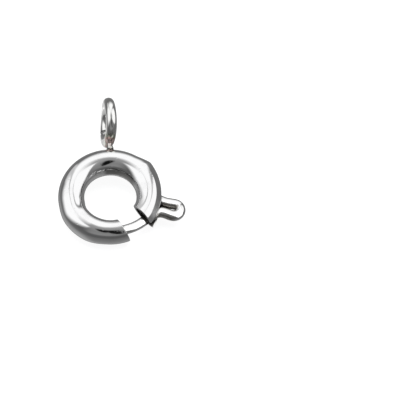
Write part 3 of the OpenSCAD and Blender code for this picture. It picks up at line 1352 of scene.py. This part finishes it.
@dataclass(frozen=True)
class SolderHeat(Mark):
    """Straw, brown and blue-grey colours round the solder, and dark spots at its foot.

    Attributes:
        strength: Strength of the colours.
        centre: Where the solder was hottest.
        hues: Colours from the cool edge, at 0, to the hottest place.
        left: Span over which the left side, which was heated less, gets its full share.
        left_share: Share of the colours to the left of it.
        spot_zone: Spans of the spots' noise, of the distance from the foot, and of y twice.
    """

    strength: float
    centre: Place = (-0.05, 3.50, 0.34)
    ragged: Noise = (3.2, 3.0, 0.6)
    ragged_by: float = 0.40
    hued: Span = (0.72, 0.05)
    heated: Span = (0.72, 0.50)
    left: Span = (-0.40, -0.22)
    left_share: float = 0.4
    hues: tuple[tuple[float, Colour], ...] = (
        (0.0, (0.95, 0.95, 0.94)), (0.30, (0.50, 0.52, 0.45)), (0.58, (0.42, 0.43, 0.36)),
        (0.74, (0.42, 0.24, 0.21)), (0.92, (0.85, 0.68, 0.66)),
    )
    dulled: float = 0.16
    foot: tuple[float, float] = (-0.02, 2.98)
    spots: Noise = (5.5, 2.0, 0.5)
    spot_zone: Spans = ((0.42, 0.50), (0.52, 0.40), (3.17, 3.08), (2.80, 2.90))
    spot_share: float = 0.9
    spot_tone: Colour = (0.05, 0.045, 0.045)

    def lay(self, skin: Skin) -> None:
        """Tint the steel by its distance from the hottest place.

        Args:
            skin: The finish.
        """
        graph = skin.graph
        x, y, z = self.centre
        far = graph.hypot(skin.y - y, skin.x - x, graph.size(skin.z) - z)
        uneven = far + (graph.noise(skin.where, self.ragged) - 0.5) * self.ragged_by
        hue = graph.wire("ShaderNodeValToRGB", {"stops": self.hues}, {"Fac": graph.step(uneven, *self.hued)})
        sided = self.left_share + (1.0 - self.left_share) * graph.step(skin.x, *self.left)
        share = graph.step(uneven, *self.heated) * sided * self.strength
        skin.colour = graph.tint(share, skin.colour, hue, "MULTIPLY")
        skin.roughness = skin.roughness + self.dulled * share
        foot = graph.hypot(skin.x - self.foot[0], skin.y - self.foot[1], skin.z)
        spots = graph.zone((graph.noise(skin.where, self.spots), foot, skin.y, skin.y), self.spot_zone)
        skin.stain(self.spot_share * spots, self.spot_tone)


@dataclass(frozen=True)
class PaintedBoreShade(Mark):
    """Painted shade in the tube's inside, on its slot's lips and on the rim of its lever mouth, all made
    rough.

    Attributes:
        bore: Span of the radius of the section.
        inner: Span from the bore's inner side, which gets the share inner_share, outwards.
        opened: Spans of the outer side and of the angle from the mouth, where light gets in.
        lips: How far the painted shade of the slot's lips reaches beside the slot.
        lips_out: Span of the place outwards where they are dark.
        lips_from: Span of angles from which they are dark, in degrees, to the slot's end.
        rim: Spans of the rim's angle and of its place outwards, twice.
    """

    tone: Colour = (0.05, 0.048, 0.045)
    rough: float = 0.45
    bore: Span = (0.63, 0.60)
    inner: Span = (-0.52, -0.20)
    inner_share: float = 0.6
    opened: Spans = ((0.28, 0.46), (0.30, 0.15))
    opened_light: float = 0.7
    lips: Span = (0.035, 0.012)
    lips_out: Span = (0.1, 0.3)
    lips_from: Span = (-31.0, -22.0)
    lips_end: float = 0.6
    lips_share: float = 0.8
    rim: Spans = ((0.026, 0.014), (-0.45, 0.0), (0.50, 0.30))

    def lay(self, skin: Skin) -> None:
        """Paint shade on the inside, the lips and the rim, and roughen them.

        Args:
            skin: The finish.
        """
        graph, out = skin.graph, skin.outwards()
        past = graph.size(skin.past_mouth())
        inside = graph.step(graph.hypot(out, skin.z), *self.bore)
        inside = inside * (self.inner_share + (1.0 - self.inner_share) * graph.step(out, *self.inner))
        inside = inside * (1.0 - self.opened_light * graph.zone((out, past), self.opened))
        turn = skin.turn * TO_DEGREES
        half, end = RingTube.slot_w / 2, RingTube.slot_end
        lips = graph.zone((turn, turn, graph.size(skin.z), out), (
            (end + self.lips_end, end), self.lips_from, (half + self.lips[0], half + self.lips[1]),
            self.lips_out))
        rim = graph.zone((past, out, out), self.rim)
        # painted shade: near-black inside the bore, on the slot's lips and on the mouth's rim
        skin.stain(graph.most(graph.most(inside, rim), self.lips_share * lips), self.tone, self.rough)


@dataclass(frozen=True)
class LeverPaintedShade(Mark):
    """Painted shade between the lever's legs and under them, and on the wire inside the tube's mouth.

    Attributes:
        strength: Strength of the painted shade between the legs.
        between: Spans across the lever, twice, and along it, twice.
        under: Spans under the lever, and along it, twice.
        under_way: How the place under the lever goes across it and up.
        hidden: Spans of the angle behind the mouth and of the place outwards.
    """

    strength: float
    between: Spans = ((-0.10, -0.03), (0.26, 0.12), (2.85, 3.05), (4.02, 3.88))
    between_tone: Colour = (0.14, 0.13, 0.11)
    between_rough: float = 0.38
    ragged: Noise = (6.0, 3.0, 0.6)
    ragged_by: float = 0.10
    under: Spans = ((0.03, 0.12), (2.75, 2.95), (4.1, 3.7))
    under_way: tuple[float, float] = (-0.89, -0.46)
    under_tone: Colour = (0.30, 0.285, 0.26)
    under_rough: float = 0.25
    flecks: Noise = (9.0, 4.0, 0.7)
    fleck_edge: Span = (0.34, 0.66)
    fleck_light: float = 0.55
    hidden: Spans = ((-0.085, -0.055), (0.78, 0.62))
    hidden_tone: Colour = (0.04, 0.038, 0.035)
    hidden_rough: float = 0.45

    def lay(self, skin: Skin) -> None:
        """Paint shade between and under the legs and on the wire inside the mouth.

        Args:
            skin: The finish.
        """
        graph = skin.graph
        aim = math.radians(Tongue.lever)
        along = skin.x * math.cos(aim) + skin.y * math.sin(aim)
        across = skin.y * math.cos(aim) - skin.x * math.sin(aim)
        below = self.under_way[0] * (across + Tongue.leg_offset) + self.under_way[1] * skin.z
        under = graph.zone((below, along, along), self.under)
        flecks = graph.step(graph.noise(skin.where, self.flecks), *self.fleck_edge)
        # painted shade under the lever's legs, broken by lighter flecks
        skin.stain(under * (1.0 - self.fleck_light * flecks), self.under_tone)
        skin.roughness = graph.blend(skin.roughness, self.under_rough, under)
        ragged = across + (graph.noise(skin.where, self.ragged) - 0.5) * self.ragged_by
        between = graph.zone((ragged, ragged, along, along), self.between) * self.strength
        # painted shade in the narrow gap between the legs
        skin.stain(between, self.between_tone, self.between_rough)
        hidden = graph.zone((skin.past_mouth(), skin.outwards()), self.hidden)
        # painted shade on the wire where it goes into the tube's mouth
        skin.stain(hidden, self.hidden_tone, self.hidden_rough)


@dataclass(frozen=True)
class SawnSeam(Mark):
    """Dark rims and dull faces of a seam, where the attribute "sawn" is 0.5 and 1."""

    tone: Colour = (0.03, 0.03, 0.03)
    rim_gain: float = 1.3
    face_rough: float = 0.5
    face: Span = (0.7, 0.9)

    def lay(self, skin: Skin) -> None:
        """Darken the rims and dull the faces.

        Args:
            skin: The finish.
        """
        graph = skin.graph
        sawn = graph.wire("ShaderNodeAttribute", {"attribute_name": "sawn"}, output="Fac")
        rim = 1.0 - graph.size(2.0 * sawn - 1.0)
        skin.stain(graph.least(self.rim_gain * rim, 1.0), self.tone)
        skin.roughness = graph.blend(skin.roughness, self.face_rough, graph.step(sawn, *self.face))


@dataclass(frozen=True)
class Pits(Mark):
    """Small pits and nicks, most of them inside the top of the ring.

    Attributes:
        dots: Scale of the cells that hold the pits.
        dot_edge: Span of a pit in its cell.
        lane: Spans of y, of z and of the radius, where the pits are.
        elsewhere: Share of the pits outside the lane.
    """

    dots: float = 4.5
    dot_edge: Span = (0.36, 0.08)
    lane: Spans = ((0.9, 1.3), (0.48, 0.28), (1.75, 1.6))
    elsewhere: float = 0.05
    chosen: Noise = (2.1, 2.0, 0.5)
    chosen_edge: Span = (0.50, 0.58)
    depth: float = 0.034
    dulled: float = 0.25

    def lay(self, skin: Skin) -> None:
        """Sink the pits and dull them.

        Args:
            skin: The finish.
        """
        graph = skin.graph
        cells = graph.wire("ShaderNodeTexVoronoi", {"feature": "F1"}, {
            "Vector": skin.where, "Scale": self.dots})
        lane = graph.zone((skin.y, skin.z, skin.radius), self.lane)
        chosen = graph.step(graph.noise(skin.where, self.chosen), *self.chosen_edge)
        placed = self.elsewhere + (1.0 - self.elsewhere) * lane
        share = graph.step(cells, *self.dot_edge) * chosen * placed
        skin.height = skin.height - share * (self.depth * MM)
        skin.roughness = skin.roughness + self.dulled * share


@dataclass(frozen=True)
class PaintedInnerShade(Mark):
    """Painted shade inside the ring, under the neck and to the right of it.

    Attributes:
        lane: Spans of z, twice, of y, of x, twice, and of the radius.
        deep: Spans of z and x where the painted shade is nearly black.
    """

    lane: Spans = ((0.455, 0.415), (-0.12, 0.02), (0.4, 0.7), (-0.45, -0.15), (1.50, 1.20), (1.72, 1.62))
    tone: Colour = (0.36, 0.355, 0.35)
    deep: Spans = ((0.33, 0.36), (0.0, 0.2))
    deep_share: float = 0.85
    deep_tone: Colour = (0.10, 0.10, 0.10)

    def lay(self, skin: Skin) -> None:
        """Paint shade on the lane, and on its deep part once more.

        Args:
            skin: The finish.
        """
        x, y, z = skin.x, skin.y, skin.z
        lane = skin.graph.zone((z, z, y, x, x, skin.radius), self.lane)
        # painted shade on the inner wall at the top of the ring
        skin.stain(lane, self.tone)
        skin.stain(self.deep_share * (lane * skin.graph.zone((z, x), self.deep)), self.deep_tone)


@dataclass(frozen=True)
class Steel:
    """Polished steel with the marks of polishing and handling, and painted shade.

    Attributes:
        name: Name of the material.
        colour: Its reflection colour.
        gloss: Least roughness, where the polish is clean.
        haze: Extra roughness where it is worn.
        marks: Marks of making and wear, and painted shade, in the order in which they are laid.
        wave: Height in millimetres of the slow waves of hand polishing.
        grain: Height in millimetres of the fine scratches.
        worn_share: Share of the darker colour worn_tone, where it is worn.
        scratch_haze: Extra roughness of the scratches there.
        round_ring: Stretch, across the ring and round it, of the scratches that run round it.
        crossing: The same for the scratches that cross them.
    """

    name: str
    colour: Colour
    gloss: float
    haze: float
    marks: tuple[Mark, ...]
    wave: float = 0.004
    grain: float = 0.0006
    worn: Noise = (1.1, 5.0, 0.6)
    worn_edge: Span = (0.48, 0.72)
    worn_share: float = 0.35
    worn_tone: float = 0.86
    scratch_haze: float = 0.05
    waves: Noise = (1.3, 2.0, 0.4)
    round_ring: tuple[float, float] = (22.0, 1.6)
    round_noise: Noise = (1.4, 4.0, 0.65)
    crossing: tuple[float, float] = (3.0, 42.0)
    crossing_noise: Noise = (1.2, 3.0, 0.6)

    def build(self) -> bpy.types.Material:
        """Make the material.

        Returns:
            The material, all of whose patterns are on Object coordinates.
        """
        material = bpy.data.materials.new(self.name)
        material.use_nodes = True
        graph = Graph(material.node_tree)
        shader = material.node_tree.nodes["Principled BSDF"]
        shader.inputs["Metallic"].default_value = 1.0
        skin = Skin(graph)
        across = self._scratches(skin, self.round_ring, self.round_noise)
        along = self._scratches(skin, self.crossing, self.crossing_noise)
        worn = graph.step(graph.noise(skin.where, self.worn), *self.worn_edge)
        dark = tuple(self.worn_tone * c for c in self.colour)
        skin.colour = graph.tint(worn * self.worn_share, self.colour, dark)
        skin.roughness = self.gloss + self.haze * worn + self.scratch_haze * (across * worn)
        skin.height = graph.noise(skin.where, self.waves) * (self.wave * MM) + across * (self.grain * MM)
        skin.height = skin.height + along * (0.5 * self.grain * MM)
        for mark in self.marks:
            mark.lay(skin)
        bump = graph.wire("ShaderNodeBump", None, {"Strength": 1.0, "Distance": 1.0, "Height": skin.height})
        graph.feed(shader.inputs["Base Color"], skin.colour)
        graph.feed(shader.inputs["Roughness"], skin.roughness)
        graph.feed(shader.inputs["Normal"], bump)
        return material

    @staticmethod
    def _scratches(skin: Skin, stretch: tuple[float, float], kind: Noise) -> Wire:
        """Return fine scratches that are stretched across the ring and round it."""
        wide, long = stretch
        return skin.graph.noise(skin.graph.vector(skin.radius * wide, skin.turn * long, skin.z * wide), kind)


# The clasp


@dataclass
class Clasp:
    """The whole clasp: pieces, their finishes and the bodies that carry them."""

    tube: RingTube = field(default_factory=RingTube)
    end_ring: EndRing = field(default_factory=EndRing)
    tongue: Tongue = field(default_factory=Tongue)
    spring: CoilSpring = field(default_factory=CoilSpring)
    # The tube's finish carries painted shade in its bore and inside the ring; the tongue's, at the lever.
    tube_finish: Steel = Steel("tube_polish", (0.90, 0.90, 0.905), 0.045, 0.06,
                               (SolderHeat(0.5), PaintedBoreShade(), Pits(), PaintedInnerShade()))
    ring_finish: Steel = Steel("end_ring_polish", (0.90, 0.90, 0.89), 0.06, 0.08,
                               (Soot(0.2), SolderHeat(0.9), SawnSeam()))
    neck_finish: Steel = Steel("solder_silver", (0.88, 0.87, 0.85), 0.12, 0.16,
                               (Soot(0.3), SolderHeat(0.3)), wave=0.010)
    wire_finish: Steel = Steel("tongue_polish", (0.88, 0.88, 0.875), 0.06, 0.09,
                               (Soot(0.10), LeverPaintedShade(0.9)))
    coil_finish: Steel = Steel("spring_wire", (0.66, 0.66, 0.67), 0.16, 0.12, (Soot(0.2),), wave=0.0)

    def dress(self) -> list[bpy.types.Object]:
        """Build every piece and fasten each one but the spring to its body.

        Returns:
            The pieces.
        """
        tube_steel, ring_steel = self.tube_finish.build(), self.ring_finish.build()
        neck = SolderNeck(self.tube, self.end_ring)
        return [
            self._fasten(self.tube.build(tube_steel), Body.RING, Finish.TUBE, "ring_body"),
            self._fasten(self.end_ring.build(ring_steel), Body.RING, Finish.TUBE),
            self._fasten(neck.build(self.neck_finish.build()), Body.RING, Finish.TUBE),
            self._fasten(BoreStops(self.tube).build(tube_steel), Body.RING, Finish.TUBE),
            self._fasten(self.tongue.build(self.wire_finish.build()), Body.TONGUE, Finish.WIRE, "tongue"),
            self._coil(self.spring.build(self.coil_finish.build())),
        ]

    @staticmethod
    def _fasten(piece: bpy.types.Object, body: Body, finish: Finish, node: str = "") -> bpy.types.Object:
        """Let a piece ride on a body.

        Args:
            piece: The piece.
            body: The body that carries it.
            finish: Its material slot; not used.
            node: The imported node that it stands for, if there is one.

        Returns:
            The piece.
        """
        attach(piece, body.value)
        if node:
            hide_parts(node)
        return piece

    def _coil(self, piece: bpy.types.Object) -> bpy.types.Object:
        """Bake the spring's place into its mesh and hide the imported spring.

        Args:
            piece: The spring.

        Returns:
            The spring.
        """
        near, far = (LEANED @ (at_angle(self.spring.ring_r, angle) * MM)
                     for angle in (self.spring.start, self.spring.end))
        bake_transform(piece)
        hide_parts("spring")
        return piece


# Studio


def hung(name: str, data: bpy.types.Light, where: Vector) -> bpy.types.Object:
    """Hang a light that points at the clasp.

    Args:
        name: Name of the light.
        data: The light.
        where: Its place.

    Returns:
        The light's object.
    """
    made = place(name, data)
    made.location = where
    made.rotation_mode = "QUATERNION"
    made.rotation_quaternion = (-where).to_track_quat("-Z", "Y")
    return made


@dataclass(frozen=True)
class Panel:
    """A white side panel of the light tent, whose lower edge is an arch.

    Angles are in degrees: azimuth from straight behind the clasp, positive to the right, and
    fall from straight up.

    Attributes:
        middle: Azimuth of the arch's top.
        low: Fall of the arch's top.
        behind: Azimuth over which the arch comes up by its height, towards the back.
        before: The same towards the front.
        rise: Power of the arch towards the front.
        soft: Softness of the lower edge.
        slide: How much the inner edge slides aside as it comes down.
        arch: Height of the arch.
        blur: How much softer the lower edge gets towards the front.
        inner: Azimuth of the inner edge.
        slide_over: Falls between which the inner edge slides.
    """

    middle: float
    low: float
    behind: float
    before: float
    rise: float = 2.0
    soft: float = 12.0
    slide: float = 0.0
    arch: float = 30.0
    blur: float = 0.3
    inner: Span = (34.0, 41.0)
    slide_over: Span = (32.0, 60.0)

    @classmethod
    def slid(cls, graph: Graph, fall: Wire) -> Wire:
        """Return by how many degrees an edge has come down."""
        start, end = cls.slide_over
        return graph.least(graph.most(fall, start), end) - start

    def shine(self, graph: Graph, turn: Wire, fall: Wire) -> Wire:
        """Find how much of the panel lies in a direction.

        Args:
            graph: The world's tree.
            turn: Azimuth.
            fall: Angle from straight up.

        Returns:
            1 on the panel and 0 beside it.
        """
        side = 1.0 if self.middle > 0 else -1.0
        ahead = side * (turn - self.middle)
        before = (graph.most(ahead, 0.0) / self.before) ** self.rise
        behind = (graph.most(-ahead, 0.0) / self.behind) ** 2.0
        over = (fall - self.low + self.arch * (before + behind)) / (1.0 + self.blur * before)
        inner = side * turn - self.slide * self.slid(graph, fall)
        return graph.zone((over, inner), ((self.soft, -self.soft), self.inner))


@dataclass(frozen=True)
class Tent:
    """Light tent: white panels at the sides, behind and above, grey in front and below.

    Angles are as in Panel. A span runs from where a part of the tent ends to where it is
    full.

    Attributes:
        white: Brightness of the panels.
        far_greys: Grey by fall, straight behind; the other greys likewise.
        right_side: Azimuths over which the left becomes the right.
        back_edge: Azimuths of the back panel's edge.
        back_low: Falls of the back panel's lower edge, which slants by back_slope.
        top_low: Falls of the top panel's edge.
        top_front: Span of the top panel's front edge, which is bowed by top_bow.
        corner: Azimuths to the left, twice, and falls, twice, of a lighter corner.
        lens: Azimuth and fall of the dark lens, which slants by lens_slant.
        lens_size: Half its width and its height.
    """

    panels: tuple[Panel, Panel] = (
        Panel(-88.0, 82.0, 48.0, 31.0, soft=20.0),
        Panel(78.0, 85.0, 40.0, 40.0, rise=2.6, soft=6.0, slide=0.2),
    )
    white: float = 1.35
    far_greys: Levels = (
        (0, 0.42), (12, 0.46), (24, 0.60), (45, 0.45), (78, 0.20), (95, 0.20), (110, 0.26), (150, 0.24))
    left_greys: Levels = (
        (0, 0.42), (16, 0.38), (34, 0.22), (60, 0.11), (86, 0.15), (100, 0.18), (110, 0.28), (122, 0.38),
        (134, 0.45), (155, 0.50))
    right_greys: Levels = (
        (0, 0.42), (20, 0.48), (60, 0.25), (86, 0.20), (100, 0.18), (110, 0.18), (124, 0.26), (136, 0.33),
        (155, 0.36))
    front_greys: Levels = (
        (0, 0.42), (18, 0.34), (42, 0.28), (54, 0.30), (62, 0.31), (74, 0.14), (90, 0.12), (102, 0.18),
        (130, 0.24), (150, 0.28), (170, 0.40))
    right_side: Span = (-20.0, 20.0)
    beside: Span = (42.0, 70.0)
    in_front: Span = (118.0, 164.0)
    back_edge: Span = (33.0, 25.0)
    back_slide: float = 0.2
    back_low: Span = (86.0, 52.0)
    back_slope: float = 0.4
    top_low: Span = (26.0, 14.0)
    top_front: Span = (0.08, 0.48)
    top_bow: float = 0.8
    corner: Spans = ((24.0, 30.0), (56.0, 46.0), (29.0, 38.0), (90.0, 72.0))
    corner_grey: float = 0.72
    lens: tuple[float, float] = (6.0, 37.0)
    lens_size: tuple[float, float] = (9.0, 25.0)
    lens_slant: float = 0.45
    lens_edge: Span = (1.25, 0.35)
    lens_grey: float = 0.008

    def build(self) -> None:
        """Make the tent as the world that the steel reflects."""
        world = bpy.data.worlds.new("tent")
        bpy.context.scene.world = world
        world.use_nodes = True
        world.node_tree.nodes.clear()
        graph = Graph(world.node_tree)
        x, y, z = graph.parts(graph.wire("ShaderNodeTexCoord", output="Generated"))
        turn = graph.math("ARCTAN2", x, y) * TO_DEGREES
        fall = graph.math("ARCCOSINE", z) * TO_DEGREES
        right = graph.step(turn, *self.right_side)
        white = self._white(graph, x, y, turn, fall, right)
        grey = self._grey(graph, turn, fall, right)
        ahead = graph.math("ARCTAN2", -x, -y) * TO_DEGREES
        across = (ahead + self.lens_slant * fall - self.lens[0]) * graph.math("SQRT", 1.0 - z * z)
        across = across / self.lens_size[0]
        up = (fall - self.lens[1]) / self.lens_size[1]
        lens = graph.step(across * across + up * up, *self.lens_edge)
        level = graph.blend(graph.blend(grey, self.lens_grey, lens), self.white, white)
        level = graph.blend(level, 1.0, graph.wire("ShaderNodeLightPath", output="Is Camera Ray"))
        light = graph.wire("ShaderNodeBackground", None, {"Strength": level})
        graph.node("ShaderNodeOutputWorld", None, {"Surface": light})

    def _white(self, graph: Graph, x: Wire, y: Wire, turn: Wire, fall: Wire, right: Wire) -> Wire:
        """Find how much of the white panels lies in a direction.

        Args:
            graph: The world's tree.
            x: The direction's way to the right.
            y: Its way to the back.
            turn: Azimuth.
            fall: Angle from straight up.
            right: 1 on the right side, 0 on the left.

        Returns:
            1 on a panel and 0 beside it.
        """
        sides = graph.most(*(panel.shine(graph, turn, fall) for panel in self.panels))
        slid = self.back_slide * right * Panel.slid(graph, fall)
        lowered = fall - self.back_slope * turn
        back = graph.zone((graph.size(turn) - slid, lowered), (self.back_edge, self.back_low))
        front = graph.step(y + self.top_bow * graph.size(x), *self.top_front)
        return graph.blend(graph.most(sides, back), front, graph.step(fall, *self.top_low))

    def _grey(self, graph: Graph, turn: Wire, fall: Wire, right: Wire) -> Wire:
        """Find the grey of the tent beside its panels.

        Args:
            graph: The world's tree.
            turn: Azimuth.
            fall: Angle from straight up.
            right: 1 on the right side, 0 on the left.

        Returns:
            The grey level.
        """
        aside = graph.size(turn)
        far, left, near_right, front = (self._profile(graph, fall, levels) for levels in (
            self.far_greys, self.left_greys, self.right_greys, self.front_greys))
        grey = graph.blend(far, graph.blend(left, near_right, right), graph.step(aside, *self.beside))
        grey = graph.blend(grey, front, graph.step(aside, *self.in_front))
        corner = graph.zone((-turn, -turn, fall, fall), self.corner)
        return graph.most(grey, self.corner_grey * corner)

    @staticmethod
    def _profile(graph: Graph, fall: Wire, levels: Levels) -> Wire:
        """Return a grey level that changes with the fall."""
        stops = tuple((angle / 180, (level, level, level)) for angle, level in levels)
        return graph.wire("ShaderNodeValToRGB", {"stops": stops}, {"Fac": fall / 180.0})


@dataclass(frozen=True)
class Card:
    """A white card that shines on one piece only.

    Attributes:
        name: Name of the card.
        turn: Azimuth in degrees, positive to the right.
        fall: Angle from straight up in degrees.
        size: Width and height in degrees, seen from the clasp.
        level: Brightness of the card.
        piece: Name of the piece that it shines on.
        far: Its distance from the clasp in metres.
    """

    name: str
    turn: float
    fall: float
    size: tuple[float, float]
    level: float
    piece: str
    far: float = 0.2

    def hang(self) -> None:
        """Hang the card, and let only its piece see it."""
        data = bpy.data.lights.new(self.name, "AREA")
        data.shape = "RECTANGLE"
        data.size, data.size_y = (2 * self.far * math.tan(math.radians(angle / 2)) for angle in self.size)
        data.energy = self.level * math.pi * data.size * data.size_y
        out, high = self.far * math.sin(math.radians(self.fall)), self.far * math.cos(math.radians(self.fall))
        made = hung(self.name, data, at_angle(out, 90.0 - self.turn, high))
        made.visible_camera = False
        lit = bpy.data.collections.new(self.name + "_lit")
        lit.objects.link(bpy.data.objects[self.piece])
        made.light_linking.receiver_collection = lit


@dataclass(frozen=True)
class Studio:
    """Pale floor, soft light and the camera at the photograph's angle.

    Attributes:
        elevation: Angle of the camera above the floor, in degrees.
        lens: Focal length in millimetres.
        frame_px: Width of the picture.
        ring_px: Where the photograph has the ring's centre.
        floor_side: Side of the floor in metres.
        paper: Colour of the floor.
        paper_glow: Light that the floor gives, so that it stays as pale as in a light tent.
        lamp_at: Place of the overhead light in metres; lamp_d is its diameter.
    """

    elevation: float = 56.73
    lens: float = 250.0
    frame_px: float = 400.0
    px_per_mm: float = 17.39
    ring_px: tuple[float, float] = (110.37, 197.0)
    floor_side: float = 0.6
    paper: Colour = (0.15, 0.15, 0.155)
    paper_rough: float = 0.6
    paper_glow: float = 0.91
    lamp_at: Place = (0.02, 0.16, 0.36)
    lamp_d: float = 0.5
    lamp_watts: float = 2.2
    tent: Tent = Tent()
    cards: tuple[Card, ...] = (
        Card("tongue_card", 125.0, 42.0, (60.0, 108.0), 1.3, "tongue_wire"),
        Card("end_ring_card", -108.0, 130.0, (84.0, 50.0), 0.22, "end_ring"),
        Card("end_ring_low_card", -38.0, 146.0, (60.0, 34.0), 0.45, "end_ring"),
    )

    def camera(self) -> None:
        """Aim a long lens so that the ring lies where the photograph has it."""
        data = bpy.data.cameras.new("studio_camera")
        data.lens = self.lens
        data.sensor_width = 36.0
        data.clip_start, data.clip_end = 0.005, 10.0
        rise = math.radians(self.elevation)
        back = Vector((0.0, -math.cos(rise), math.sin(rise)))
        focal_px = self.lens / data.sensor_width * self.frame_px
        offset = Vector(((self.ring_px[0] - self.frame_px / 2) / focal_px,
                         (self.frame_px / 2 - self.ring_px[1]) / focal_px, -1.0))
        distance = focal_px / self.px_per_mm * MM * offset.length
        straight = (-back).to_track_quat("-Z", "Y")
        aside = offset.normalized().rotation_difference(Vector((0.0, 0.0, -1.0)))
        made = place("studio_camera", data)
        made.rotation_mode = "QUATERNION"
        made.location = back * distance
        made.rotation_quaternion = straight @ aside
        bpy.context.scene.camera = made

    def floor(self) -> None:
        """Lay a plain pale floor under the clasp."""
        material = bpy.data.materials.new("floor_paper")
        material.use_nodes = True
        shader = material.node_tree.nodes["Principled BSDF"]
        shader.inputs["Base Color"].default_value = (*self.paper, 1.0)
        shader.inputs["Roughness"].default_value = self.paper_rough
        shader.inputs["Emission Color"].default_value = (1.0, 1.0, 1.0, 1.0)
        shader.inputs["Emission Strength"].default_value = self.paper_glow
        level, half = CAD_BOX[0].z, self.floor_side / 2
        corners = [(-half, -half, level), (half, -half, level), (half, half, level), (-half, half, level)]
        made = place("floor", mesh_of("floor", corners, [(0, 1, 2, 3)], material))
        made.visible_glossy = False
        made.visible_shadow = False

    def lamp(self) -> None:
        """Hang one wide soft light over the floor."""
        data = bpy.data.lights.new("overhead", "AREA")
        data.shape = "DISK"
        data.size = self.lamp_d
        data.energy = self.lamp_watts
        made = hung("overhead", data, Vector(self.lamp_at))
        made.visible_glossy = False

    def build(self) -> None:
        """Set up the studio, and show colours plainly, as a catalogue picture does."""
        self.camera()
        self.floor()
        self.lamp()
        self.tent.build()
        view = bpy.context.scene.view_settings
        view.view_transform = "Standard"
        view.look = "None"
        view.exposure = 0.0


def main() -> None:
    """Build the studio and the clasp, and note its size."""
    logging.basicConfig(level=logging.INFO, format="%(name)s: %(message)s")
    studio = Studio()
    studio.build()
    pieces = Clasp().dress()
    for card in studio.cards:
        card.hang()
    for piece in pieces:
        mesh = piece.data
        mesh.calc_loop_triangles()
        LOG.info("%s: %d triangles", piece.name, len(mesh.loop_triangles))


if __name__ == "__main__":
    main()
